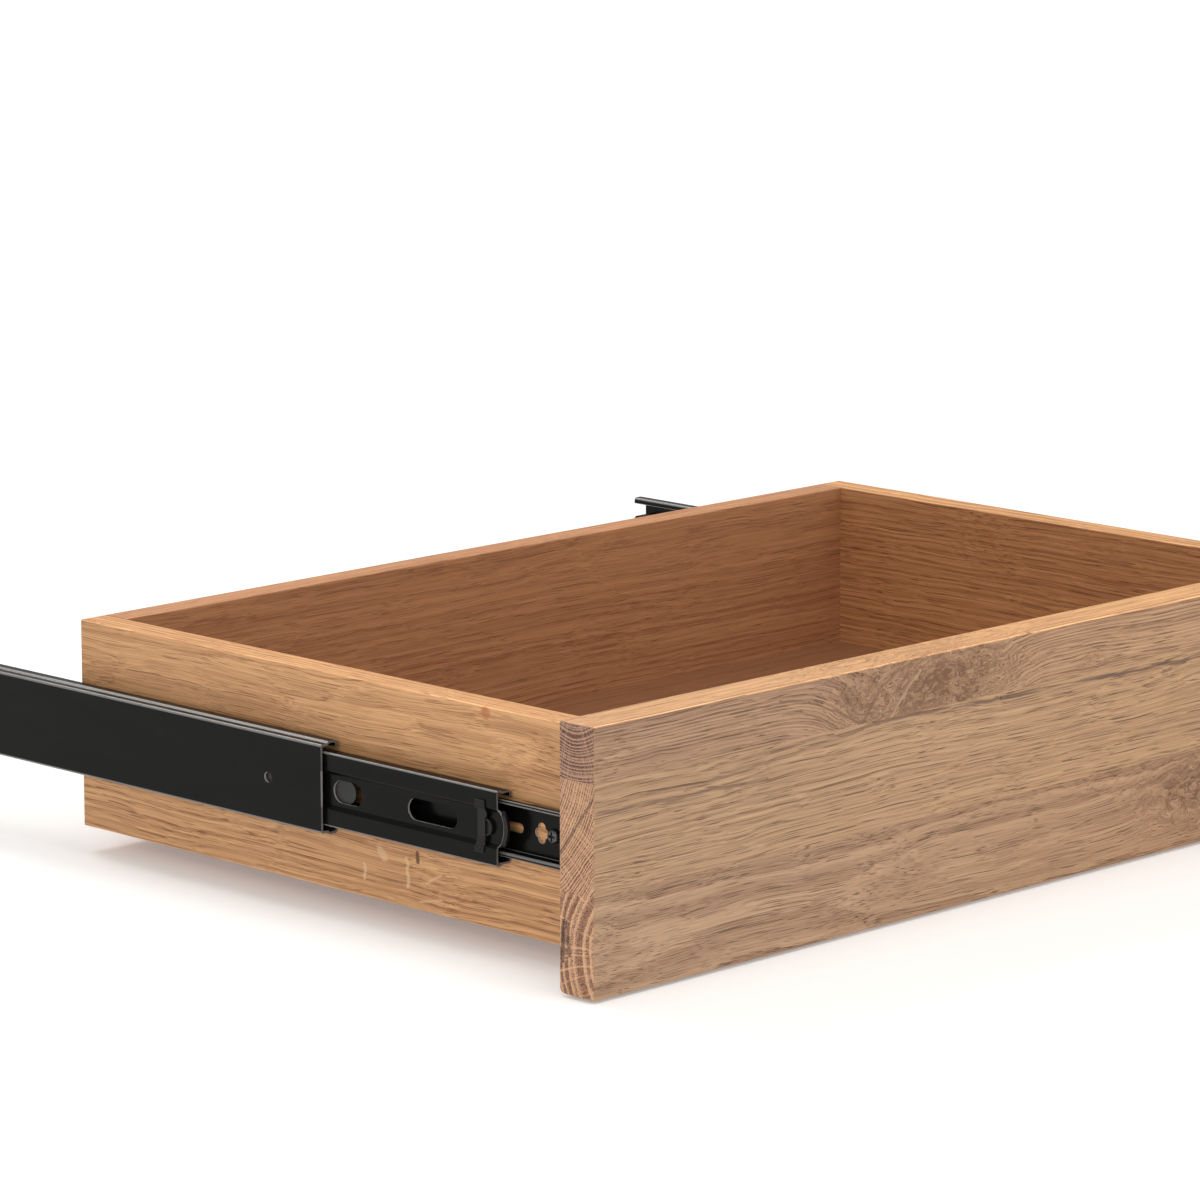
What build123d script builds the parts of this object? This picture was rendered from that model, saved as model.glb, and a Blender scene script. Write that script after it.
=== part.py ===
import os

from build123d import *

# Under desk drawer: an oak box behind a glued three-stave front, on a pair of
# ball-bearing slides whose outer members screw to the desk's carcass.
#
# Frame, in millimetres: X to the right, Y to the back, Z up. X = 0 is midway
# between the two carcass faces the slides are screwed to, Y = 0 is the plane of
# the closed drawer's face, Z = 0 is the slides' centre line.
# The drawer is modelled partly open, which is its rest pose.

os.makedirs("parts", exist_ok=True)

# How far the drawer and the slides' middle members are out at rest
DRAWER_OUT = 177.0
MIDDLE_OUT = 126.0

# Drawer front: three oak staves glued edge to edge
FRONT_T = 22.0
FRONT_LEFT = -308.0
FRONT_RIGHT = 298.0
FRONT_TOP = 64.0
FRONT_BOTTOM = -61.0
UPPER_JOINT = 38.0
LOWER_JOINT = -13.5
ARRIS = 1.0
LOWER_BACK_ROUND = 3.0

# Drawer box
BOX_HALF = 276.0
SIDE_T = 16.0
SIDE_TOP = 53.0
SIDE_BOTTOM = -51.0
INNER_DEPTH = 350.0
BACK_T = 16.0
BOARD_ARRIS = 0.8
PANEL_TOP = -34.0
PANEL_T = 6.0
PANEL_IN = 6.0
GROOVE_DEPTH = 6.5

# Dowels that join the box
FRONT_DOWEL_R = 4.0
FRONT_DOWEL_INTO_FRONT = 12.0
FRONT_DOWEL_INTO_SIDE = 20.0
FRONT_DOWEL_HEIGHTS = (20.0, -23.5)
BACK_DOWEL_R = 3.0
BACK_DOWEL_INTO_SIDE = 9.0
BACK_DOWEL_INTO_BACK = 21.0
BACK_DOWEL_HEIGHTS = (30.0, -8.0)
DOWEL_END_GAP = 1.0

# Slides: u runs from the carcass face towards the drawer, v is the height
SLIDE_T = 12.7
CARCASS_HALF = BOX_HALF + SLIDE_T
SLIDE_FRONT = 23.0
SLIDE_LEN = 350.0
STOP_T = 7.0
STOP_U = 10.4
STOP_HALF = 12.0
STOP_ROUND = 2.0
REAR_GAP = 1.0

# How far a cutting tool passes what it cuts, and the half height that clears a slide
CUT_PAST = 1.0
SLIDE_CLEAR_HALF = 25.0

OUTER_SHEET = 1.2
OUTER_BEND_R = 1.0
OUTER_HALF_LINE = ((9.9, 19.6), (9.9, 21.9), (5.4, 21.9), (4.2, 20.9), (0.6, 20.9))
MIDDLE_SHEET = 1.0
MIDDLE_BEND_R = 0.7
MIDDLE_FACE_U = 2.7
MIDDLE_WEB_U = 4.1
MIDDLE_LIP_LINE = ((10.9, 14.4), (10.9, 16.6), (5.6, 16.6), (4.8, 17.4))
MIDDLE_FACE_LINE = ((MIDDLE_FACE_U, 17.4), (MIDDLE_FACE_U, 9.4), (MIDDLE_WEB_U, 7.6))
MIDDLE_HALF_LINE = MIDDLE_LIP_LINE + MIDDLE_FACE_LINE
INNER_SHEET = 1.2
INNER_BEND_R = 0.9
INNER_LINE = ((6.3, 12.8), (6.3, 11.7), (12.1, 11.7), (12.1, -11.7), (6.3, -11.7), (6.3, -12.8))
CAGE_SHEET = 0.5
CAGE_BEND_R = 0.8
OUTER_CAGE_LINE = ((8.8, 19.2), (1.7, 19.2), (1.7, -19.2), (8.8, -19.2))
INNER_CAGE_LINE = ((9.95, 14.2), (5.15, 14.2), (5.15, -14.2), (9.95, -14.2))

# Balls: radius, distance from the carcass face, height
OUTER_BALL_R = 1.8
OUTER_BALL_U = 6.9
OUTER_BALL_V = 19.2
INNER_BALL_R = 1.5
INNER_BALL_U = 8.4
INNER_BALL_V = 14.2
BALL_HOLE_GAP = 0.06
BALL_HOLE_LEN = 2.0
BALLS_PER_ROW = 8
OUTER_CAGE_FRONT = 115.0
OUTER_CAGE_LEN = 160.0
INNER_CAGE_FRONT = 155.5
INNER_CAGE_LEN = 128.0
CAGE_TONGUE_R = 5.5
CAGE_TONGUE_LEN = 7.0
CAGE_WEB_HALF = 12.0

# Screw holes in the outer member's web
OUTER_HOLE_R = 2.6
OUTER_HOLES = (60.0, 284.0)

# Middle member: a tongue-shaped front end, a long slot and an access hole
MIDDLE_WEB_FRONT = 29.8
MIDDLE_FLANGE_FRONT = 33.0
TONGUE_R = 13.0
TONGUE_HALF = 8.7
MIDDLE_SLOT = (76.7, 33.0, 10.5)
MIDDLE_ACCESS = (134.0, 20.0, 11.0)

# Plastic retainer clip across the middle member's web: a stem with a half-round boss,
# and a ribbed tab at each end. Tab corners are (distance behind the stem's front, v).
CLIP_FRONT = 40.0
CLIP_W = 5.0
CLIP_STEM_HALF = 8.6
CLIP_PAD_HALF = 6.9
CLIP_BOSS_R = 4.1
CLIP_BULGE_R = 2.2
CLIP_BULGE_V = 6.2
CLIP_TOP_TAB = ((0.4, 8.2), (0.4, 12.3), (7.0, 12.7), (6.6, 8.2))
CLIP_LOW_TAB = ((-0.4, -4.8), (1.4, -12.4), (7.4, -12.4), (4.8, -4.8))
CLIP_STEM_U = 1.7
CLIP_TAB_U = 1.75
CLIP_RIB_U = 1.5
CLIP_RIB_SINK = 0.05
CLIP_RIB_W = 0.45
CLIP_RIB_STEP = 1.1
CLIP_BOSS_U = 2.0
CLIP_RIM_W = 1.0
CLIP_RIM_DEPTH = 0.6

# Plastic bumper at the middle member's front
BUMPER_FRONT = 27.2
BUMPER_BACK = 46.0
BUMPER_HALF = 8.4
BUMPER_T = 0.8
BUMPER_LIP_T = 0.9
BUMPER_LIP_GAP = 0.2
BUMPER_LIP_BACK = 3.0
BUMPER_LIP_HALF = 7.0

# Inner member: features behind the drawer front's back face
INNER_FRONT_GAP = 1.0
INNER_SCREWS = (34.0, 194.0, 322.0)
CLOVER_AT = 42.0
CLOVER_LOBE_R = 2.4
CLOVER_SPREAD = 2.6
CLOVER_SIDE_SPREAD = 1.95
WINDOW_AT = 60.0
WINDOW_LEN = 12.0
WINDOW_H = 4.5
WINDOW_R = 2.0
INNER_ACCESS = (167.0, 26.0, 12.5)
HOLE_CLEAR_R = 2.1
SCREW_R = 1.75
SCREW_LEN = 11.0
SCREW_TIP = 2.0
SCREW_TIP_R = 0.3
HEAD_R = 3.4
HEAD_T = 1.9
HEAD_ROUND = 1.3
CROSS_W = 0.9
CROSS_LEN = 4.2
CROSS_DEPTH = 1.2

BACK_OF_FRONT = FRONT_T - DRAWER_OUT
FACE = -DRAWER_OUT
BACK_INNER = BACK_OF_FRONT + INNER_DEPTH
BOX_INNER = BOX_HALF - SIDE_T
SLIDE_BACK = SLIDE_FRONT + SLIDE_LEN
MOVING_BACK = SLIDE_BACK - STOP_T - REAR_GAP

# Faces of the middle member's sheet: its outer bands, its recessed web and the web's back
BAND_FACE_U = MIDDLE_FACE_U - MIDDLE_SHEET / 2
WEB_FACE_U = MIDDLE_WEB_U - MIDDLE_SHEET / 2
WEB_BACK_U = MIDDLE_WEB_U + MIDDLE_SHEET / 2


def board(x0, x1, y0, y1, z0, z1):
    """A box given by its limits."""
    centre = Pos((x0 + x1) / 2, (y0 + y1) / 2, (z0 + z1) / 2)
    return centre * Box(x1 - x0, y1 - y0, z1 - z0)


def rod_x(x0, x1, y, z, r):
    """A cylinder along X."""
    return Pos((x0 + x1) / 2, y, z) * Rot(0, 90, 0) * Cylinder(r, x1 - x0)


def rod_y(x, y0, y1, z, r):
    """A cylinder along Y."""
    return Pos(x, (y0 + y1) / 2, z) * Rot(90, 0, 0) * Cylinder(r, y1 - y0)


def along(shape, axis, **at):
    """The straight edges along an axis, at the given coordinates, such as Y=0 and Z=5."""
    edges = shape.edges().filter_by(axis)
    for name, value in at.items():
        edges = edges.filter_by(lambda e: abs(getattr(e.center(), name) - value) < 0.01)
    return edges


def write(shape, name):
    export_step(shape, f"parts/{name}.step")


def both_sides(shape, name):
    """Write a left-hand piece and its mirror image on the right."""
    write(shape, f"{name}_left")
    write(mirror(shape, about=Plane.YZ), f"{name}_right")


# ---------------------------------------------------------------- drawer front


def panel_groove():
    """The groove for the bottom panel, as one ring-filling slab."""
    reach = BOX_INNER + GROOVE_DEPTH
    y0 = BACK_OF_FRONT - GROOVE_DEPTH
    y1 = BACK_INNER + GROOVE_DEPTH
    return board(-reach, reach, y0, y1, PANEL_TOP - PANEL_T, PANEL_TOP)


def front_dowels(end_gap):
    """Dowels between the sides' front ends and the drawer front."""
    x = BOX_HALF - SIDE_T / 2
    y0 = BACK_OF_FRONT - FRONT_DOWEL_INTO_FRONT - end_gap
    y1 = BACK_OF_FRONT + FRONT_DOWEL_INTO_SIDE + end_gap
    return [rod_y(s * x, y0, y1, z, FRONT_DOWEL_R) for s in (-1, 1) for z in FRONT_DOWEL_HEIGHTS]


def back_dowels(end_gap):
    """Dowels between the sides and the back's ends."""
    x0 = BOX_INNER - BACK_DOWEL_INTO_BACK - end_gap
    x1 = BOX_INNER + BACK_DOWEL_INTO_SIDE + end_gap
    y = BACK_INNER + BACK_T / 2
    right = [rod_x(x0, x1, y, z, BACK_DOWEL_R) for z in BACK_DOWEL_HEIGHTS]
    left = [rod_x(-x1, -x0, y, z, BACK_DOWEL_R) for z in BACK_DOWEL_HEIGHTS]
    return right + left


def stave(z0, z1):
    """One stave of the front, with its outer edges eased and its glue edges left sharp."""
    wood = board(FRONT_LEFT, FRONT_RIGHT, FACE, BACK_OF_FRONT, z0, z1)
    if z0 == FRONT_BOTTOM:
        wood = fillet(along(wood, Axis.X, Y=BACK_OF_FRONT, Z=z0), LOWER_BACK_ROUND)
        wood = fillet(along(wood, Axis.X, Y=FACE, Z=z0), ARRIS)
    if z1 == FRONT_TOP:
        wood = fillet(along(wood, Axis.X, Z=z1), ARRIS)
    return fillet(wood.edges().filter_by(Axis.Z), ARRIS)


def drawer_front():
    cuts = [panel_groove()] + front_dowels(DOWEL_END_GAP)
    write(stave(UPPER_JOINT, FRONT_TOP), "front_stave_top")
    write(stave(LOWER_JOINT, UPPER_JOINT) - cuts, "front_stave_middle")
    write(stave(FRONT_BOTTOM, LOWER_JOINT) - cuts, "front_stave_bottom")


# ------------------------------------------------------------------ drawer box


def box_sides():
    wood = board(-BOX_HALF, -BOX_INNER, BACK_OF_FRONT, BACK_INNER + BACK_T, SIDE_BOTTOM, SIDE_TOP)
    wood = fillet(wood.edges().filter_by(Axis.Y), BOARD_ARRIS)
    wood = fillet(along(wood, Axis.Z, Y=BACK_INNER + BACK_T), BOARD_ARRIS)
    left = wood - ([panel_groove()] + front_dowels(DOWEL_END_GAP) + back_dowels(DOWEL_END_GAP))
    for y in INNER_SCREWS:
        left = left - screw_shank(BACK_OF_FRONT + y)
    both_sides(left, "side")


def box_back():
    wood = board(-BOX_INNER, BOX_INNER, BACK_INNER, BACK_INNER + BACK_T, SIDE_BOTTOM, SIDE_TOP)
    wood = fillet(wood.edges().filter_by(Axis.X), BOARD_ARRIS)
    write(wood - ([panel_groove()] + back_dowels(DOWEL_END_GAP)), "back")


def bottom_panel():
    reach = BOX_INNER + PANEL_IN
    y0 = BACK_OF_FRONT - PANEL_IN
    y1 = BACK_INNER + PANEL_IN
    write(board(-reach, reach, y0, y1, PANEL_TOP - PANEL_T, PANEL_TOP), "bottom_panel")


def dowels():
    write(Compound(children=front_dowels(0)), "front_dowels")
    write(Compound(children=back_dowels(0)), "back_dowels")


# ---------------------------------------------------------------------- slides


def left_x(u):
    """The X of a point u away from the left carcass face."""
    return u - CARCASS_HALF


def sheet(line, thickness, radius, y0, y1):
    """Bent sheet metal: a line of (u, v) points given thickness and run along Y."""
    points = [(left_x(u), v) for u, v in line]
    outline = offset(FilletPolyline(*points, radius=radius), thickness / 2)
    section = Plane.XZ.offset(-y1) * make_face(outline.edges())
    return extrude(section, amount=y1 - y0)


def whole_line(upper_half):
    """A section's upper half and its mirror image below the centre line."""
    lower = [(u, -v) for u, v in reversed(upper_half)]
    return tuple(upper_half) + tuple(lower)


def obround(y, length, height, u0, u1):
    """A slot with round ends, cut through along X."""
    r = height / 2
    x0 = left_x(u0)
    x1 = left_x(u1)
    half = length / 2 - r
    middle = board(x0, x1, y - half, y + half, -r, r)
    return [middle, rod_x(x0, x1, y - half, 0, r), rod_x(x0, x1, y + half, 0, r)]


def outer_member():
    member = sheet(whole_line(OUTER_HALF_LINE), OUTER_SHEET, OUTER_BEND_R, SLIDE_FRONT, SLIDE_BACK)
    x0 = left_x(-CUT_PAST)
    x1 = left_x(OUTER_SHEET + CUT_PAST)
    for y in OUTER_HOLES:
        member = member - rod_x(x0, x1, y, 0, OUTER_HOLE_R)
    both_sides(member, "outer_member")
    x0 = left_x(OUTER_SHEET)
    x1 = left_x(STOP_U)
    stop = board(x0, x1, SLIDE_BACK - STOP_T, SLIDE_BACK, -STOP_HALF, STOP_HALF)
    stop = fillet(stop.edges().filter_by(Axis.X), STOP_ROUND)
    both_sides(stop, "rear_stop")


def tongue(front, r, u0, u1):
    """A plate with a rounded front end whose foremost point is at a given Y."""
    return rod_x(left_x(u0), left_x(u1), front + r, 0, r)


def middle_member():
    out = -MIDDLE_OUT
    web_front = MIDDLE_WEB_FRONT + out
    flange_front = MIDDLE_FLANGE_FRONT + out
    back = MOVING_BACK + out
    member = sheet(whole_line(MIDDLE_HALF_LINE), MIDDLE_SHEET, MIDDLE_BEND_R, web_front, back)
    x0 = left_x(-CUT_PAST)
    x1 = left_x(SLIDE_T)
    y0 = web_front - CUT_PAST
    front = board(x0, x1, y0, flange_front, -SLIDE_CLEAR_HALF, SLIDE_CLEAR_HALF)
    web = board(x0, x1, y0, flange_front + CUT_PAST, -TONGUE_HALF, TONGUE_HALF)
    nose = web & tongue(web_front, TONGUE_R, -CUT_PAST, SLIDE_T)
    member = member - (front - nose)
    for y, length, height in (MIDDLE_SLOT, MIDDLE_ACCESS):
        member = member - obround(y + out, length, height, -CUT_PAST, SLIDE_T)
    both_sides(member, "middle_member")


def plate(corners, u0, u1):
    """A flat plate across X, with an outline of (Y, v) corners."""
    outline = make_face(Polyline(*corners, close=True))
    return extrude(Plane.YZ.offset(left_x(u0)) * outline, amount=u1 - u0)


def clip_tab(y0, corners):
    """One end of the retainer clip, with grip ribs on its outer face."""
    corners = [(y0 + y, v) for y, v in corners]
    tab = plate(corners, CLIP_TAB_U, BAND_FACE_U)
    ribbed = plate(corners, CLIP_RIB_U, CLIP_TAB_U + CLIP_RIB_SINK)
    x0 = left_x(CLIP_RIB_U - CUT_PAST)
    x1 = left_x(CLIP_TAB_U + CUT_PAST)
    y1 = min(y for y, v in corners) - CUT_PAST
    y2 = max(y for y, v in corners) + CUT_PAST
    low = min(v for y, v in corners) + CLIP_RIB_STEP / 2
    high = max(v for y, v in corners) - CLIP_RIB_STEP / 2
    count = round((high - low) / CLIP_RIB_STEP) + 1
    for i in range(count):
        v = low + i * (high - low) / (count - 1)
        tab = tab + (ribbed & board(x0, x1, y1, y2, v - CLIP_RIB_W / 2, v + CLIP_RIB_W / 2))
    return tab


def retainer_clip():
    """A plastic stem across the web, padded into its recess, with a boss and two tabs."""
    y0 = CLIP_FRONT - MIDDLE_OUT
    y1 = y0 + CLIP_W
    x0 = left_x(CLIP_STEM_U)
    x1 = left_x(BAND_FACE_U)
    x2 = left_x(WEB_FACE_U)
    boss_x = left_x(CLIP_BOSS_U)
    stem = board(x0, x1, y0, y1, -CLIP_STEM_HALF, CLIP_STEM_HALF)
    pad = board(x1, x2, y0, y1, -CLIP_PAD_HALF, CLIP_PAD_HALF)
    bulge = rod_x(x0, x1, y0 + CLIP_BULGE_R / 2, CLIP_BULGE_V, CLIP_BULGE_R)
    reach = board(x0, x2, y0 - CLIP_BOSS_R - CUT_PAST, y0, -CLIP_BOSS_R, CLIP_BOSS_R)
    boss = rod_x(boss_x, x2, y0, 0, CLIP_BOSS_R) & reach
    rim = boss - rod_x(boss_x - CUT_PAST, boss_x + CLIP_RIM_DEPTH, y0, 0, CLIP_BOSS_R - CLIP_RIM_W)
    tabs = clip_tab(y0, CLIP_TOP_TAB) + clip_tab(y0, CLIP_LOW_TAB)
    both_sides(stem + pad + bulge + rim + tabs, "retainer_clip")


def front_bumper():
    """A plastic plate behind the web that stands out past its rounded front."""
    y0 = BUMPER_FRONT - MIDDLE_OUT
    y1 = BUMPER_BACK - MIDDLE_OUT
    web_front = MIDDLE_WEB_FRONT - MIDDLE_OUT
    x0 = left_x(0)
    x1 = left_x(SLIDE_T)
    lip_u = WEB_BACK_U - BUMPER_LIP_T
    back = tongue(y0, TONGUE_R, WEB_BACK_U, WEB_BACK_U + BUMPER_T)
    back = back & board(x0, x1, y0 - CUT_PAST, y1, -BUMPER_HALF, BUMPER_HALF)
    web_room = tongue(web_front - BUMPER_LIP_GAP, TONGUE_R + BUMPER_LIP_GAP, 0, SLIDE_T)
    lip = tongue(y0, TONGUE_R, lip_u, WEB_BACK_U) - web_room
    lip_back = web_front + BUMPER_LIP_BACK
    lip = lip & board(x0, x1, y0 - CUT_PAST, lip_back, -BUMPER_LIP_HALF, BUMPER_LIP_HALF)
    both_sides(back + lip, "front_bumper")


def inner_member():
    y0 = BACK_OF_FRONT + INNER_FRONT_GAP
    y1 = MOVING_BACK - DRAWER_OUT
    member = sheet(INNER_LINE, INNER_SHEET, INNER_BEND_R, y0, y1)
    u0 = SLIDE_T - INNER_SHEET - CUT_PAST
    u1 = SLIDE_T + CUT_PAST
    x0 = left_x(u0)
    x1 = left_x(u1)
    for y in INNER_SCREWS:
        member = member - rod_x(x0, x1, BACK_OF_FRONT + y, 0, HOLE_CLEAR_R)
    y = BACK_OF_FRONT + CLOVER_AT
    for side in (-1, 1):
        member = member - rod_x(x0, x1, y, side * CLOVER_SPREAD, CLOVER_LOBE_R)
        member = member - rod_x(x0, x1, y + side * CLOVER_SIDE_SPREAD, 0, CLOVER_LOBE_R)
    y = BACK_OF_FRONT + WINDOW_AT
    window = board(x0, x1, y - WINDOW_LEN / 2, y + WINDOW_LEN / 2, -WINDOW_H / 2, WINDOW_H / 2)
    member = member - fillet(window.edges().filter_by(Axis.X), WINDOW_R)
    y, length, height = INNER_ACCESS
    member = member - obround(BACK_OF_FRONT + y, length, height, u0, u1)
    both_sides(member, "inner_member")


def screw_shank(y):
    """The shank and point of a screw through the inner member into the left side."""
    x0 = left_x(SLIDE_T - INNER_SHEET)
    shank = rod_x(x0, x0 + SCREW_LEN, y, 0, SCREW_R)
    point = Rot(0, 90, 0) * Cone(SCREW_R, SCREW_TIP_R, SCREW_TIP)
    return shank + Pos(x0 + SCREW_LEN + SCREW_TIP / 2, y, 0) * point


def cross_recess(x0, y):
    """The two bars of a cross recess in a screw head whose outer face is at x0."""
    x1 = x0 + CROSS_DEPTH
    half = CROSS_LEN / 2
    thin = CROSS_W / 2
    flat_bar = board(x0 - CUT_PAST, x1, y - half, y + half, -thin, thin)
    tall_bar = board(x0 - CUT_PAST, x1, y - thin, y + thin, -half, half)
    return [flat_bar, tall_bar]


def inner_screws():
    x1 = left_x(SLIDE_T - INNER_SHEET)
    x0 = x1 - HEAD_T
    screws = []
    for offset_y in INNER_SCREWS:
        y = BACK_OF_FRONT + offset_y
        head = rod_x(x0, x1, y, 0, HEAD_R)
        head = fillet(head.edges().group_by(Axis.X)[0], HEAD_ROUND)
        screws.append(head - cross_recess(x0, y) + screw_shank(y))
    both_sides(Compound(children=screws), "inner_screws")


def ball_rows(y0, y1, u, v, r):
    """Two rows of balls, spread evenly between two ends."""
    step = (y1 - y0) / BALLS_PER_ROW
    places = [y0 + step * (i + 0.5) for i in range(BALLS_PER_ROW)]
    return [Pos(left_x(u), y, s * v) * Sphere(r) for y in places for s in (-1, 1)]


def cage(line, y0, y1, u, v, r):
    """A bent strip that keeps two rows of balls apart."""
    strip = sheet(line, CAGE_SHEET, CAGE_BEND_R, y0, y1)
    step = (y1 - y0) / BALLS_PER_ROW
    for i in range(BALLS_PER_ROW):
        hole = Cylinder(r + BALL_HOLE_GAP, BALL_HOLE_LEN)
        y = y0 + step * (i + 0.5)
        strip = strip - [Pos(left_x(u), y, v) * hole, Pos(left_x(u), y, -v) * hole]
    return strip


def round_nose(strip, y0):
    """Trim the front of the inner cage's web to a round tongue."""
    u, v = INNER_CAGE_LINE[1]
    x0 = left_x(u - CUT_PAST)
    x1 = left_x(u + CUT_PAST)
    y1 = y0 + CAGE_TONGUE_LEN
    r = CAGE_TONGUE_R
    cut = board(x0, x1, y0 - CUT_PAST, y1, -CAGE_WEB_HALF, CAGE_WEB_HALF)
    neck = board(x0, x1, y0 + r, y1, -r, r)
    tip = rod_x(x0, x1, y0 + r, 0, r)
    return strip - (cut - [neck, tip])


def cages():
    """At rest a cage has rolled half as far as the member it carries."""
    y0 = OUTER_CAGE_FRONT - MIDDLE_OUT / 2
    y1 = y0 + OUTER_CAGE_LEN
    row = (OUTER_BALL_U, OUTER_BALL_V, OUTER_BALL_R)
    both_sides(cage(OUTER_CAGE_LINE, y0, y1, *row), "outer_cage")
    both_sides(Compound(children=ball_rows(y0, y1, *row)), "outer_balls")
    y0 = INNER_CAGE_FRONT - (DRAWER_OUT + MIDDLE_OUT) / 2
    y1 = y0 + INNER_CAGE_LEN
    row = (INNER_BALL_U, INNER_BALL_V, INNER_BALL_R)
    both_sides(round_nose(cage(INNER_CAGE_LINE, y0, y1, *row), y0), "inner_cage")
    both_sides(Compound(children=ball_rows(y0, y1, *row)), "inner_balls")


drawer_front()
box_sides()
box_back()
bottom_panel()
dowels()
outer_member()
middle_member()
retainer_clip()
front_bumper()
inner_member()
inner_screws()
cages()
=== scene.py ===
"""Looks for the under desk drawer: oiled oak boards and black ball-bearing slides."""

import math
from dataclasses import dataclass, replace

import bpy
from mathutils import Euler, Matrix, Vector

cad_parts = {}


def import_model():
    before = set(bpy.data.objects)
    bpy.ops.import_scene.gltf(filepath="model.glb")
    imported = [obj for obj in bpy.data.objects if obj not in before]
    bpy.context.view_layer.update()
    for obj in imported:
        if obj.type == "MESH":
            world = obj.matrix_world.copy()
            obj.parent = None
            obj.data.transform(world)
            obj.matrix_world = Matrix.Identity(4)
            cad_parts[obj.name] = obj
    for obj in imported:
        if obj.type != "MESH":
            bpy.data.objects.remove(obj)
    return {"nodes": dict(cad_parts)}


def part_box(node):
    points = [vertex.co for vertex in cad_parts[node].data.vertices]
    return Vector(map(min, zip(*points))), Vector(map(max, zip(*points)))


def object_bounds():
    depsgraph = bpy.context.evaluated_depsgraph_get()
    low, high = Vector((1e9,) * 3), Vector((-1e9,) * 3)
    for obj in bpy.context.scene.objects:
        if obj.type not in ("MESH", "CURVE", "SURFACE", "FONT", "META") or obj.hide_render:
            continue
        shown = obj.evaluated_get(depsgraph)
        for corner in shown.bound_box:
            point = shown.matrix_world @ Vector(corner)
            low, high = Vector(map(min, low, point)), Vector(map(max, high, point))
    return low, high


MM_PER_M = 1000.0

# Camera: from the front left, a little above the drawer. Metres, degrees, millimetres of lens.
# Turned up from straight down by the level angle, it looks level
CAMERA_PLACE = (-2.0658, -1.9257, 0.6132)
CAMERA_YAW = 45.21
CAMERA_PITCH = 11.22
CAMERA_LENS = 172.8
CAMERA_SENSOR = 36.0
CAMERA_REACH = 60.0
CAMERA_LEVEL = 90.0

# Floor: metres. It lies just under the drawer front
FLOOR_DROP = 0.0015
FLOOR_SIZE = 60.0
# Lamps reach only its middle, so it glows more from one distance to another, in millimetres
GLOW_REACH = (700.0, 3500.0)
GLOW_STRENGTH = (0.2, 0.62)

# Even light from all around
WORLD_STRENGTH = 0.42

# Display values run from 0 to this, on a curve with a straight foot
DISPLAY_FULL = 255
FOOT_END = 0.04045
FOOT_SLOPE = 12.92
CURVE_SHIFT = 0.055
CURVE_POWER = 2.4

# Noise hovers around its middle
NOISE_MIDDLE = 0.5
BEVEL_SAMPLES = 4

# Sockets of the Mix node when it mixes colours
MIX_FACTOR = 0
MIX_FIRST = 6
MIX_SECOND = 7
MIX_RESULT = 2

WHITE = (1.0, 1.0, 1.0, 1.0)


def tone(r, g, b):
    """A colour given in 0 to 255 display values, as Blender's linear colour."""
    def linear(value):
        v = value / DISPLAY_FULL
        if v <= FOOT_END:
            return v / FOOT_SLOPE
        return ((v + CURVE_SHIFT) / (1 + CURVE_SHIFT)) ** CURVE_POWER
    return (linear(r), linear(g), linear(b), 1.0)


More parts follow.
